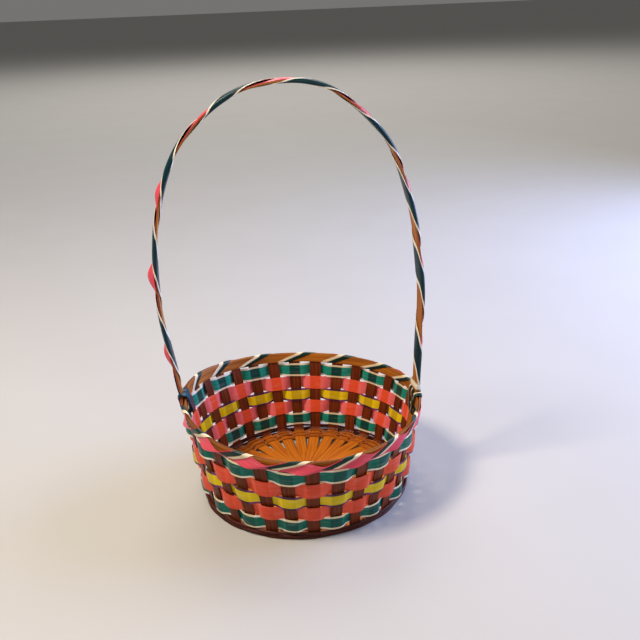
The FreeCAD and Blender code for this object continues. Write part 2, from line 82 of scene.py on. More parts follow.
class Wander:
    """Smooth seeded wave round the basket, with values of about -1 to 1."""

    def __init__(self, slowest, fastest):
        self.waves = [(turn, RANDOM.uniform(0, 2 * math.pi), RANDOM.uniform(0.5, 1.0))
                      for turn in range(slowest, fastest + 1)]
        self.total = math.sqrt(sum(wave[2] ** 2 for wave in self.waves))

    def __call__(self, angle):
        waves = sum(size * np.sin(turn * angle + start) for turn, start, size in self.waves)
        return waves / self.total


SETTLE_TURN = 0.0532     # turn of the crooked shape against the stakes
SETTLE_HEIGHT = 95.0     # height at which the rim's tilt is complete
RIM_RADIUS = 127.0
TILT_NEAR = -0.0101      # slopes of the rim: near to far, left to right, and saddle-shaped
TILT_SIDE = -0.0628
SADDLE = -0.0352
OVAL = (-0.0091, -0.0122)
STAKE_LEAN = 0.045


def settle(points):
    """Bend a basket point the way the real, slightly crooked basket stands."""
    points = np.asarray(points, float)
    x, y, z = points[..., 0], points[..., 1], points[..., 2]
    angle = np.arctan2(x, -y) + SETTLE_TURN
    share = np.clip(z / SETTLE_HEIGHT, 0, 1.15)
    lift = RIM_RADIUS * share * (TILT_NEAR * np.cos(angle) + TILT_SIDE * np.sin(angle)
                                 + SADDLE * np.cos(2 * angle))
    swell = 1 + OVAL[0] * np.cos(2 * angle) + OVAL[1] * np.sin(2 * angle)
    lean = STAKE_LEAN * np.clip((z - 20) / 66, 0, 1.3) * np.sin(2 * angle)
    sin, cos = np.sin(lean) * swell, np.cos(lean) * swell
    return np.stack([x * cos - y * sin, x * sin + y * cos, z + lift], axis=-1)


def around(angle, radius, height):
    """Point at an angle from the near side (-Y), positive towards +X."""
    angle, radius, height = np.broadcast_arrays(angle, radius, height)
    return np.stack([radius * np.sin(angle), -radius * np.cos(angle), height], axis=-1)


STAKE_SHIFT = RANDOM.uniform(-0.7, 0.7, STAKES)


def from_stake(angle, radius):
    """Distance along the wall to the middle of the nearest stake."""
    turn = np.asarray(angle) / STAKE_ANGLE
    number = np.rint(turn).astype(int)
    return np.abs((turn - number) * STAKE_ANGLE * radius - STAKE_SHIFT[number % STAKES])


# ---------------------------------------------------------------- meshes


def build_mesh(name, points, faces, corner_uv, attributes, smooth_angle=40):
    """Mesh object from points in mm; corner_uv and attributes hold its surface coordinates."""
    mesh = bpy.data.meshes.new(name)
    mesh.from_pydata((np.asarray(points) * MM).tolist(), [], faces)
    layer = mesh.uv_layers.new(name="weave")
    layer.data.foreach_set("uv", np.asarray(corner_uv, np.float32).ravel())
    for key, values in attributes.items():
        data = mesh.attributes.new(key, "FLOAT", "POINT")
        data.data.foreach_set("value", np.asarray(values, np.float32).ravel())
    mesh.validate()
    mesh.shade_smooth()
    mesh.set_sharp_from_angle(angle=math.radians(smooth_angle))
    piece = bpy.data.objects.new(name, mesh)
    bpy.context.scene.collection.objects.link(piece)
    return piece


def place(piece, material, slot, *nodes):
    """Give a piece its material and body, and hide the CAD nodes that it stands for; slot is not
    used.
    """
    piece.data.materials.append(material)
    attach(piece, "root")
    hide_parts(*nodes)
    return piece


def grid_way(middle, closed):
    """Length along the middle line of a grid of points, from its first row."""
    centre = middle[:, middle.shape[1] // 2]
    steps = np.linalg.norm(np.diff(centre, axis=0), axis=1)
    way = np.concatenate([[0.0], np.cumsum(steps)])
    if closed:
        way = np.append(way, way[-1] + np.linalg.norm(centre[0] - centre[-1]))
    return way


UV_SCALE = 0.01


def strip(name, middle, thick, closed=False, start=0.0, **attributes):
    """Thin closed solid on a grid of middle points (stations x across), with its coordinates.

    The map "weave" holds the length along and across in units of 100 mm; start shifts it along
    the grain, so that no two pieces look alike. The attribute side runs from -1 to 1 across the
    strip, and face is 1 on the face that its normal leaves and 0 on the other."""
    stations, columns = middle.shape[:2]
    if closed:
        along = np.roll(middle, -1, axis=0) - np.roll(middle, 1, axis=0)
    else:
        along = np.gradient(middle, axis=0)
    aside = np.gradient(middle, axis=1)
    normal = np.cross(along, aside)
    normal /= np.linalg.norm(normal, axis=2, keepdims=True)
    half = np.broadcast_to(np.asarray(thick, float), (stations, columns))[..., None] / 2
    points = np.concatenate([(middle + normal * half).reshape(-1, 3),
                             (middle - normal * half).reshape(-1, 3)])
    way = grid_way(middle, closed) + start
    widths = np.linalg.norm(np.diff(middle, axis=1), axis=2).mean(axis=0)
    cross = np.concatenate([[0.0], np.cumsum(widths)])
    cross -= cross[-1] / 2
    under = stations * columns
    faces = []
    corner_uv = []

    def quad(corners, flip):
        ordered = corners[::-1] if flip else corners
        faces.append([(row % stations) * columns + column + layer * under
                      for row, column, layer in ordered])
        corner_uv.extend((way[row] * UV_SCALE, cross[column] * UV_SCALE)
                         for row, column, layer in ordered)

    rows = stations if closed else stations - 1
    for row in range(rows):
        for column in range(columns - 1):
            for layer in (0, 1):
                quad([(row, column, layer), (row + 1, column, layer),
                      (row + 1, column + 1, layer), (row, column + 1, layer)], layer == 1)
        for column, flip in ((0, True), (columns - 1, False)):
            quad([(row, column, 0), (row + 1, column, 0), (row + 1, column, 1), (row, column, 1)],
                 flip)
    if not closed:
        for row, flip in ((0, False), (stations - 1, True)):
            for column in range(columns - 1):
                quad([(row, column, 0), (row, column + 1, 0), (row, column + 1, 1),
                      (row, column, 1)], flip)
    side = np.broadcast_to(np.linspace(-1, 1, columns), (stations, columns))
    values = {"side": side, **attributes}
    doubled = {}
    for key, value in values.items():
        value = np.asarray(value, float)
        if value.ndim == 1:
            value = value[:, None]
        flat = np.broadcast_to(value, (stations, columns)).ravel()
        doubled[key] = np.concatenate([flat, flat])
    doubled["face"] = np.repeat([1.0, 0.0], under)
    return build_mesh(name, points, faces, corner_uv, doubled)


def tube(name, rings, start=0.0, **attributes):
    """Closed ring of closed sections: a grid of points (stations x round)."""
    stations, count = rings.shape[:2]
    way = grid_way(rings, True) + start
    girth = np.linalg.norm(np.roll(rings[0], -1, axis=0) - rings[0], axis=1)
    cross = np.concatenate([[0.0], np.cumsum(girth)])
    faces = []
    corner_uv = []
    for row in range(stations):
        for column in range(count):
            corners = [(row, column), (row, column + 1), (row + 1, column + 1), (row + 1, column)]
            faces.append([(a % stations) * count + b % count for a, b in corners])
            corner_uv.extend((way[a] * UV_SCALE, cross[b] * UV_SCALE) for a, b in corners)
    values = {key: np.broadcast_to(np.asarray(value, float)[:, None], (stations, count))
              for key, value in attributes.items()}
    return build_mesh(name, rings.reshape(-1, 3), faces, corner_uv, values)


# ---------------------------------------------------------------- materials


class Graph:
    """Node graph of one material, with short calls for the nodes that it uses."""

    def __init__(self, name, roughness, coat=0.0, coat_roughness=0.2):
        self.material = bpy.data.materials.new(name)
        self.material.use_nodes = True
        self.tree = self.material.node_tree
        self.tree.nodes.clear()
        output = self.tree.nodes.new("ShaderNodeOutputMaterial")
        self.shader = self.tree.nodes.new("ShaderNodeBsdfPrincipled")
        self.shader.inputs["Roughness"].default_value = roughness
        self.shader.inputs["Specular IOR Level"].default_value = 0.16
        self.shader.inputs["Coat Weight"].default_value = coat
        self.shader.inputs["Coat Roughness"].default_value = coat_roughness
        self.tree.links.new(self.shader.outputs[0], output.inputs[0])

    def feed(self, socket, value):
        """Link a socket from another node's output, or set its value."""
        if isinstance(value, bpy.types.NodeSocket):
            self.tree.links.new(value, socket)
        else:
            socket.default_value = value

    def attribute(self, name):
        node = self.tree.nodes.new("ShaderNodeAttribute")
        node.attribute_name = name
        return node.outputs["Fac"]

    def math(self, operation, first, second=0.0):
        node = self.tree.nodes.new("ShaderNodeMath")
        node.operation = operation
        self.feed(node.inputs[0], first)
        self.feed(node.inputs[1], second)
        return node.outputs[0]

    def ramp(self, value, low, high, start=0.0, end=1.0):
        """Smooth step from start to end as value goes from low to high."""
        node = self.tree.nodes.new("ShaderNodeMapRange")
        node.interpolation_type = "SMOOTHSTEP"
        for socket, number in zip(node.inputs[:5], (value, low, high, start, end)):
            self.feed(socket, number)
        return node.outputs[0]

    def grain(self, along, across, detail=4.0, seed=0.0):
        """Noise that runs along the strip: its scales are in features per mm."""
        uv = self.tree.nodes.new("ShaderNodeUVMap")
        uv.uv_map = "weave"
        scale = self.tree.nodes.new("ShaderNodeVectorMath")
        scale.operation = "MULTIPLY_ADD"
        self.feed(scale.inputs[0], uv.outputs[0])
        scale.inputs[1].default_value = (along / UV_SCALE, across / UV_SCALE, 0)
        scale.inputs[2].default_value = (seed, seed, seed)
        noise = self.tree.nodes.new("ShaderNodeTexNoise")
        self.feed(noise.inputs["Vector"], scale.outputs[0])
        noise.inputs["Scale"].default_value = 1.0
        noise.inputs["Detail"].default_value = detail
        noise.inputs["Roughness"].default_value = 0.6
        return noise.outputs[0]

    def mix(self, share, first, second):
        node = self.tree.nodes.new("ShaderNodeMix")
        node.data_type = "RGBA"
        self.feed(node.inputs[0], share)
        self.feed(node.inputs[6], first)
        self.feed(node.inputs[7], second)
        return node.outputs[2]

    def finish(self, colour, height, bump, roughness=None):
        """Colour, bump (height in mm) and perhaps uneven roughness of the shader."""
        self.feed(self.shader.inputs["Base Color"], colour)
        node = self.tree.nodes.new("ShaderNodeBump")
        node.inputs["Distance"].default_value = bump * MM
        node.inputs["Strength"].default_value = 1.0
        self.feed(node.inputs["Height"], height)
        self.feed(self.shader.inputs["Normal"], node.outputs[0])
        if roughness is not None:
            self.feed(self.shader.inputs["Roughness"], roughness)
        return self.material


def colour(red, green, blue):
    """Linear colour from 0-255 display values."""
    linear = [(c / 255 / 12.92 if c / 255 <= 0.04045 else ((c / 255 + 0.055) / 1.055) ** 2.4)
              for c in (red, green, blue)]
    return (*linear, 1.0)


def ribbon_material(name, inside, outside, edge=None, stake_shaded_edge=None, edge_share=0.0,
                    streaks=0.5):
    """Glossy ribbon with coloured edges, with painted light and shade: lighter between the stakes,
    as if lit through from behind, and darker where a stake lies behind it.

    inside and outside are pairs of colours, free and backed by a stake, of its two faces; the
    outside's free colour is painted darker than the inside's, as shade."""
    graph = Graph(name, 0.30, coat=0.10, coat_roughness=0.12)
    fine = graph.grain(0.03, 2.6, 3.0)
    broad = graph.grain(0.05, 0.5, 3.0, seed=5.0)
    # painted light and shade: this mask is 1 where a stake lies behind the ribbon and picks the
    # darker colours, and 0 between the stakes, where the lighter colours stand for light shining
    # through from behind
    stake_shade = graph.ramp(graph.attribute("stake"), 5.2, 7.2, 1.0, 0.0)
    face = graph.attribute("face")
    # painted shade: the outside face's free colour is darker than the inside face's
    body = graph.mix(face, graph.mix(stake_shade, *inside), graph.mix(stake_shade, *outside))
    dark = graph.mix(0.5, body, (0.0, 0.0, 0.0, 1.0))
    body = graph.mix(graph.ramp(fine, 0.42, 0.72, 0.0, streaks), body, dark)
    light = graph.mix(0.1, body, (1.0, 1.0, 1.0, 1.0))
    body = graph.mix(graph.ramp(broad, 0.5, 0.8), body, light)
    if edge_share:
        # the edge colour is painted darker over the stakes too: painted shade
        border = graph.mix(stake_shade, edge, stake_shaded_edge)
        distance = graph.math("ABSOLUTE", graph.attribute("side"))
        wobble = graph.math("MULTIPLY", graph.math("SUBTRACT", broad, 0.5), 0.07)
        distance = graph.math("ADD", distance, wobble)
        share = graph.ramp(distance, 1 - edge_share - 0.02, 1 - edge_share + 0.02)
        body = graph.mix(share, body, border)
    height = graph.math("ADD", fine, graph.math("MULTIPLY", broad, 0.8))
    return graph.finish(body, height, 0.06, graph.ramp(fine, 0.3, 0.8, 0.20, 0.36))


def wood_material(name, light, dark, roughness, floor=None, coat=0.15):
    """Stained splint wood with grain along its length; floor is a pair of lighter, oranger colours
    painted where it lies flat: painted light from above.
    """
    graph = Graph(name, roughness, coat=coat, coat_roughness=0.3)
    fine = graph.grain(0.04, 3.2, 5.0)
    broad = graph.grain(0.012, 0.45, 3.0, seed=9.0)
    pores = graph.grain(0.10, 6.0, 2.0, seed=3.0)
    body = graph.mix(graph.ramp(broad, 0.3, 0.7), dark, light)
    if floor is not None:
        # painted light: where the splint lies flat on the floor its colour is painted lighter, as
        # if lit from above
        low = graph.mix(graph.ramp(broad, 0.3, 0.7), floor[0], floor[1])
        body = graph.mix(graph.attribute("flat"), body, low)
    shade = graph.mix(0.55, body, (0.01, 0.003, 0.001, 1.0))
    body = graph.mix(graph.ramp(fine, 0.52, 0.78), body, shade)
    body = graph.mix(graph.ramp(pores, 0.62, 0.72, 0.0, 0.5), body, shade)
    # painted shade: every wood strip is darkened towards both edges, as shade between neighbouring
    # pieces
    rim = graph.ramp(graph.math("ABSOLUTE", graph.attribute("side")), 0.80, 0.97, 0.0, 0.65)
    body = graph.mix(rim, body, shade)
    height = graph.math("SUBTRACT", fine, graph.math("MULTIPLY", pores, 0.4))
    return graph.finish(body, height, 0.16, graph.ramp(fine, 0.3, 0.8, roughness, roughness + 0.2))


def lash_material(name, centre, edge, halves, edge_share=0.0):
    """Ribbon of two colours: side by side in halves, or a centre between two edges."""
    graph = Graph(name, 0.38, coat=0.12, coat_roughness=0.2)
    fine = graph.grain(0.04, 2.8, 3.0)
    broad = graph.grain(0.06, 0.5, 3.0, seed=4.0)
    side = graph.attribute("side")
    wobble = graph.math("MULTIPLY", graph.math("SUBTRACT", broad, 0.5), 0.25)
    if halves:
        share = graph.ramp(graph.math("ADD", side, wobble), 0.17, 0.23)
    else:
        distance = graph.math("ADD", graph.math("ABSOLUTE", side), wobble)
        share = graph.ramp(distance, 1 - edge_share - 0.03, 1 - edge_share + 0.03)
    body = graph.mix(share, centre, edge)
    shade = graph.mix(0.4, body, (0.0, 0.0, 0.0, 1.0))
    body = graph.mix(graph.ramp(fine, 0.45, 0.75, 0.0, 0.8), body, shade)
    return graph.finish(body, fine, 0.12, graph.ramp(fine, 0.3, 0.8, 0.28, 0.5))


CREAM = colour(220, 206, 172)
WHITE = colour(236, 230, 214)
# the third argument is painted light on the splints' flat floor part: lighter, oranger colours
STAKE_WOOD = wood_material("stained_wood", colour(124, 53, 19), colour(76, 28, 10), 0.36,
                           (colour(176, 88, 16), colour(216, 130, 28)), coat=0.06)
ROUND_WOOD = wood_material("floor_round_wood", colour(188, 100, 26), colour(132, 60, 16), 0.42)
BASE_WOOD = wood_material("dark_glossy_wood", colour(84, 29, 14), colour(40, 12, 6), 0.36,
                          coat=0.05)
BAND_WOOD = wood_material("orange_band_wood", colour(186, 114, 34), colour(132, 72, 18), 0.42)
# ribbon colour pairs, inside then outside: between the stakes, painted lighter as if lit through
# from behind, then over a stake, painted darker as shade; the outside free colour is painted
# darker than the inside one as shade
TEAL = ribbon_material("teal_ribbon_plastic", (colour(22, 142, 124), colour(4, 66, 60)),
                       (colour(5, 108, 92), colour(2, 78, 70)),
                       WHITE, colour(218, 200, 164), 0.27, 0.75)
CORAL = ribbon_material("coral_ribbon_plastic", (colour(238, 112, 112), colour(230, 84, 50)),
                        (colour(224, 82, 54), colour(206, 70, 42)), streaks=0.3)
YELLOW = ribbon_material("yellow_ribbon_plastic", (colour(232, 204, 20), colour(196, 168, 14)),
                         (colour(220, 194, 20), colour(200, 174, 14)),
                         colour(118, 62, 106), colour(70, 34, 54), 0.32, streaks=0.35)
RIM_PINK = ribbon_material("pink_ribbon_plastic", (colour(216, 78, 96), colour(216, 78, 96)),
                           (colour(216, 76, 94), colour(208, 68, 82)), streaks=0.5)
LASH = lash_material("green_cream_lash", colour(8, 44, 38), CREAM, True)
WRAP = lash_material("teal_cream_wrap", colour(6, 46, 54), WHITE, False, 0.23)
KNOT = lash_material("teal_knot", colour(4, 70, 96), colour(3, 26, 32), False, 0.5)
FOOT_STRIP = lash_material("cream_strip", WHITE, colour(206, 194, 160), False, 0.3)

# ---------------------------------------------------------------- splints


def floor_place(number):
    """Height order of a splint in the crossing: neighbours never differ by more than two."""
    return 2 * number if number < SPLINT_COUNT / 2 else 2 * (SPLINT_COUNT - number) - 1


STACK_BOTTOM = 1.0
STACK_PITCH = 0.47
STACK_REACH = 66.0
FLOOR_REACH = 84.0
FOOT_BEND = 4.0


def splint_outline(number):
    """Points (way out, height) of half a splint from the middle of the floor to its top."""
    stack = STACK_BOTTOM + STACK_PITCH * floor_place(number)
    tilt = math.atan(WALL_SLOPE)
    bend_centre = wall(FOOT_Z) - FOOT_BEND * (1 / math.cos(tilt) - math.tan(tilt)) + 0.2
    reach = np.concatenate([np.linspace(0, STACK_REACH, 12, endpoint=False),
                            np.linspace(STACK_REACH, FLOOR_REACH, 8, endpoint=False),
                            np.linspace(FLOOR_REACH, bend_centre, 14, endpoint=False)])
    share = np.clip((reach - STACK_REACH) / (FLOOR_REACH - STACK_REACH), 0, 1)
    level = stack + (FOOT_Z - stack) * share * share * (3 - 2 * share)
    turn = np.linspace(-math.pi / 2, -tilt, 8, endpoint=False)
    bend = np.stack([bend_centre + FOOT_BEND * np.cos(turn),
                     FOOT_Z + FOOT_BEND * (1 + np.sin(turn))], axis=1)
    height = np.linspace(FOOT_Z + FOOT_BEND * (1 - math.sin(tilt)), STAKE_TOP, 46)
    rise = np.stack([wall(height), height], axis=1)
    return np.concatenate([np.stack([reach, level], axis=1), bend, rise])


ROW_PITCH = 16.2
ROW_ZERO = 66.8
STAKE_SWAY = 0.4
SWAY_FROM = 12.0
SWAY_RAMP = 8.0
STAKE_CROOKED = 0.5
WIDTH_SPREAD = 0.03
STAKE_CUP = 0.25


def stake_half(number, mirrored, columns=5):
    """Grid of half a splint; the stake leans away from each ribbon that crosses it."""
    stake = number + (SPLINT_COUNT if mirrored else 0)
    outline = splint_outline(number)
    parity = 1 if number % 2 == 0 else -1
    reach, height = outline[:, 0], outline[:, 1]
    on_wall = np.clip((height - SWAY_FROM) / SWAY_RAMP, 0, 1) * (reach > wall(0) - 8)
    sway = -STAKE_SWAY * parity * np.cos(math.pi * (height - ROW_ZERO) / ROW_PITCH) * on_wall
    drift = STAKE_SHIFT[stake] * np.clip(reach / wall(FOOT_Z), 0, 1)
    lean = RANDOM.uniform(-STAKE_CROOKED, STAKE_CROOKED) * np.clip(height / STAKE_TOP, 0, 1)
    width = STAKE_WIDTH * (1 + RANDOM.uniform(-WIDTH_SPREAD, WIDTH_SPREAD))
    across = np.linspace(-width / 2, width / 2, columns)
    angle = stake * STAKE_ANGLE
    forward = np.array([math.sin(angle), -math.cos(angle), 0])
    aside = np.array([math.cos(angle), math.sin(angle), 0])
    cup = STAKE_CUP * np.linspace(-1, 1, columns) ** 2 * on_wall[:, None]
    return (forward * (reach + sway)[:, None, None] - forward * cup[..., None]
            + aside * (across + (drift + lean)[:, None])[..., None]
            + np.array([0, 0, 1]) * height[:, None, None])


def make_splint(number):
    """One splint: up one side of the wall, across the floor and up the other side."""
    first = stake_half(number, False)
    second = stake_half(number, True)
    middle = np.concatenate([first[::-1], second[1:, ::-1]])
    outline = splint_outline(number)
    # flat is 1 where a splint lies on the floor, where the wood is painted lighter as light from
    # above
    flat = np.clip((wall(FOOT_Z) - 1.5 - outline[:, 0]) / 6, 0, 1)
    flat = np.concatenate([flat[::-1], flat[1:]])
    piece = strip("stake_pair_%02d" % (number + 1), settle(middle), STAKE_THICK,
                  start=310.0 * number, flat=flat)
    return place(piece, STAKE_WOOD, "stained_splint", "splint_%02d" % (number + 1))


for splint_number in range(SPLINT_COUNT):
    make_splint(splint_number)

# ---------------------------------------------------------------- floor and base rounds

STEPS = 16               # points from stake to stake
FLOOR_ROUNDS = 5
ROUND_HALF = 2.05
ROUND_THICK = 0.95
ROUND_DIP = 1.15
ROUND_SQUARENESS = 2.2
BASE_RINGS = 3
RING_HALF = 1.35


def make_floor_round(number):
    """Thin splint woven over and under the floor splints."""
    node = "floor_round_%d" % (number + 1)
    radius = box_mm(node)[1][0] - 1.4
    side = 1 if number % 2 else -1
    angle = np.arange(STAKES * STEPS) * STAKE_ANGLE / STEPS
    wander = Wander(3, 11)
    wave = np.tanh(ROUND_SQUARENESS * np.cos(angle * STAKES / 2)) / math.tanh(ROUND_SQUARENESS)
    across = np.linspace(-1, 1, 7)
    half_width = ROUND_HALF * (1 + 0.10 * Wander(5, 17)(angle))
    radii = radius + 0.4 * wander(angle)[:, None] + across * half_width[:, None]
    level = FOOT_Z + side * ROUND_DIP * wave[:, None]
    thick = ROUND_THICK * np.sqrt(1.06 - across ** 2)
    points = settle(around(angle[:, None], radii, level))
    piece = strip(node + "_reed", points, np.broadcast_to(thick, radii.shape), closed=True,
                  start=700.0 * number)
    return place(piece, ROUND_WOOD, "pale_splint", node)


def make_base_ring(number):
    """Glossy round reed at the foot of the wall, pressed in a little between the stakes."""
    node = "base_ring_%d" % (number + 1)
    low, high = box_mm(node)
    angle = np.arange(STAKES * STEPS) * STAKE_ANGLE / STEPS
    turn = np.linspace(0, 2 * math.pi, 14, endpoint=False)
    wave = 0.40 * np.cos(angle * STAKES / 2 + math.pi * number)
    wave = wave + 0.45 * Wander(3, 9)(angle)
    centre = high[0] - 1.25 + wave
    lift = 0.30 * Wander(4, 13)(angle) * (number > 0)
    half_high = (high[2] - low[2]) / 2 - 0.1
    flat = 1.0 - 0.1 * np.abs(np.cos(turn)) ** 6
    radii = centre[:, None] + RING_HALF * np.cos(turn) * flat
    heights = (low[2] + high[2]) / 2 + lift[:, None] + half_high * np.sin(turn)
    piece = tube(node + "_reed", settle(around(angle[:, None], radii, heights)),
                 start=500.0 * number)
    return place(piece, BASE_WOOD, "dark_round", node)


for round_number in range(FLOOR_ROUNDS):
    make_floor_round(round_number)
for ring_number in range(BASE_RINGS):
    make_base_ring(ring_number)

# ---------------------------------------------------------------- woven ribbons

OUTER_SWING = 3.3
INNER_SWING = 1.1
SEAM_STAKES = 2.0        # overlap of a ribbon's ends, in stakes
SQUARENESS = 1.4         # how flat a ribbon lies over a stake
ROW_SPREAD = 1.05        # the pressed ribbons are a little wider than in CAD


def make_weaver(node, side, material, slot, seam):
    """Ribbon woven round the wall once; its ends overlap on the inside at a seam stake."""
    low, high = box_mm(node)
    middle = (low[2] + high[2]) / 2
    half_width = (high[2] - low[2]) / 2
    steps = int((STAKES + SEAM_STAKES) * STEPS) + 1
    angle = seam * STAKE_ANGLE + (np.arange(steps) / STEPS - 0.25) * STAKE_ANGLE
    across = np.linspace(-1, 1, 9)
    side_of = side * np.tanh(SQUARENESS * np.cos(angle * STAKES / 2)) / math.tanh(SQUARENESS)
    loose = 1 + 0.14 * Wander(7, 19)(angle)
    swing = ((OUTER_SWING + INNER_SWING) / 2 * side_of
             + (OUTER_SWING - INNER_SWING) / 2 * side_of ** 2) * loose
    second_layer = np.clip((angle - angle[0] - 2 * math.pi) / STAKE_ANGLE * 4 + 1, 0, 1)
    swing = swing - 0.5 * second_layer
    lift = 0.45 * Wander(3, 13)(angle)
    lean = 0.35 * Wander(9, 21)(angle) - 1.0 * np.clip(side_of, 0, 1)
    width = half_width * (ROW_SPREAD + 0.025 * Wander(5, 15)(angle))
    cup = 0.5 * (1 - across ** 2) * np.clip(side_of, -0.3, 1)[:, None]
    heights = middle + lift[:, None] + across * width[:, None]
    radii = wall(heights) + swing[:, None] + lean[:, None] * across + cup
    points = settle(around(angle[:, None], radii, heights))
    # the ribbon materials paint shade over the stakes and light between them from this distance
    stake = from_stake(angle, wall(middle))
    piece = strip(node + "_strip", points, RIBBON_THICK, start=900.0 * seam, stake=stake)
    return place(piece, material, slot, node)


make_weaver("weaver_teal_top", -1, TEAL, "teal_ribbon", 2)
make_weaver("weaver_coral_upper", 1, CORAL, "coral_ribbon", -3)
make_weaver("weaver_yellow", -1, YELLOW, "yellow_ribbon", 0)
make_weaver("weaver_coral_lower", 1, CORAL, "coral_ribbon", 1)
make_weaver("weaver_teal_bottom", -1, TEAL, "teal_ribbon", -2)

# ---------------------------------------------------------------- rim

LASH_TURNS = 16
LASH_PITCH = 2 * math.pi / LASH_TURNS
LASH_START = -1.5 * STAKE_ANGLE
BAND_THICK = 1.1
BAND_GAP = 0.4
HANDLE_GAP = 2.3
OUTER_FACE = BAND_GAP + BAND_THICK


def inner_gap(angle):
    """Gap from the wall's middle to the inner band, which makes room for the handle feet."""
    from_handle = np.abs(np.abs(np.arcsin(np.clip(np.sin(angle), -1, 1))) - math.pi / 2)
    share = np.clip((from_handle * wall(BAND_HIGH) - 7.5) / 22, 0, 1)
    return HANDLE_GAP + (BAND_GAP - HANDLE_GAP) * share * share * (3 - 2 * share)


def spread_inside(angle, out):
    """Move a point of the rim's section inward with the inner band; out is from the wall."""
    share = np.clip((OUTER_FACE - out) / (OUTER_FACE + BAND_GAP + BAND_THICK), 0, 1)
    return out - share * (inner_gap(angle) - BAND_GAP)


def make_rim_band(node, outside):
    """Flat wood band round the rim with softened edges."""
    low, high = box_mm(node)
    angle = np.arange(STAKES * 8) * STAKE_ANGLE / 8
    across = np.array([-1, -0.94, -0.8, -0.3, 0.3, 0.8, 0.94, 1])
    edge = Wander(3, 15)(angle)
    heights = ((low[2] + high[2]) / 2 + across * (high[2] - low[2]) / 2
               + 0.3 * edge[:, None])
    middle = BAND_GAP if outside else -inner_gap(angle)
    middle = middle + (BAND_THICK / 2 if outside else -BAND_THICK / 2) + 0 * angle
    radii = wall(heights) + middle[:, None] + 0.08 * Wander(5, 12)(angle)[:, None]
    thick = BAND_THICK * np.array([0.55, 0.9, 1, 1, 1, 1, 0.9, 0.55])
    piece = strip(node + "_wood", settle(around(angle[:, None], radii, heights)),
                  np.broadcast_to(thick, radii.shape), closed=True, start=1500 + 700 * outside)
    return place(piece, BAND_WOOD, "band_wood", node)


def lash_phase(angle):
    """Share of a lashing turn at an angle: 0 below the rim, 0.25 on its outer face."""
    return ((angle - LASH_START) / LASH_PITCH) % 1.0


def rounded_section(left, right, low, high, radius, count):
    """Points (across, up) and outward directions of a rounded box, counter-clockwise
    from the middle of its low side, with their share of its length."""
    corners = [(right - radius, low + radius, -90), (right - radius, high - radius, 0),
               (left + radius, high - radius, 90), (left + radius, low + radius, 180)]
    points = [((left + right) / 2, low, 0.0, -1.0)]
    for x, z, first in corners:
        for turn in np.radians(first + np.linspace(0, 90, 6)):
            points.append((x + radius * math.cos(turn), z + radius * math.sin(turn),
                           math.cos(turn), math.sin(turn)))
    points.append(points[0])
    points = np.array(points)
    steps = np.linalg.norm(np.diff(points[:, :2], axis=0), axis=1)
    length = np.concatenate([[0], np.cumsum(steps)])
    way = np.linspace(0, 1, count, endpoint=False) * length[-1]
    return np.stack([np.interp(way, length, points[:, k]) for k in range(4)], axis=1)


SECTION_COUNT = 48
# share of the way round the section, and share of a turn's angle used up to there
TURN_SHARE = ([0, 0.10, 0.40, 0.60, 0.90, 1.0], [0, 0.05, 0.42, 0.58, 0.95, 1.0])


def wound_strip(name, section, turns, place_at, half_width_at, ripple, layer=0.0):
    """Open strip wound round the rim; place_at gives its angle for a count of turns.

    Each turn lies one layer further out than the turn before."""
    across = np.linspace(-1, 1, 7)
    rows = []
    for step in range(turns * SECTION_COUNT + 1):
        out, up, normal_out, normal_up = section[step % SECTION_COUNT]
        share = step / SECTION_COUNT
        part = np.interp(share % 1.0, *TURN_SHARE)
        angle = place_at(math.floor(share) + part)
        proud = 0.12 + ripple * (1 - across ** 2) + layer * share
        height = up + normal_up * proud
        beside = angle + across * half_width_at(angle) / wall(up)
        radius = wall(height) + spread_inside(beside, out + normal_out * proud)
        rows.append(around(beside, radius, height))
    return strip(name, settle(np.array(rows)), RIBBON_THICK, start=2000.0)


def lash_half_width(angle):
    """Half the width of the lashing along the rim: it is squeezed beside the handle feet."""
    return 4.6 + 4.0 * np.clip((np.abs(np.cos(angle)) - 0.15) / 0.15, 0, 1)


def make_lashing():
    """Green and cream strip wound round the whole rim."""
    reach = 0.3
    section = rounded_section(-OUTER_FACE - reach, OUTER_FACE + RIBBON_THICK + reach + 0.25,
                              BAND_LOW - reach, BAND_HIGH + reach, 1.9, SECTION_COUNT)
    wander = Wander(5, 13)

    def place_at(turns):
        return LASH_START + LASH_PITCH * turns + 0.012 * wander(LASH_PITCH * turns)

    piece = wound_strip("rim_lashing_strip", section, LASH_TURNS, place_at, lash_half_width, 0.3)
    return place(piece, LASH, "lash_strip", "rim_lashing")


RIM_RIBBON_HALF = 6.0
LOOSE_NARROWING = 2.2
LOOSE_SAG = 3.4


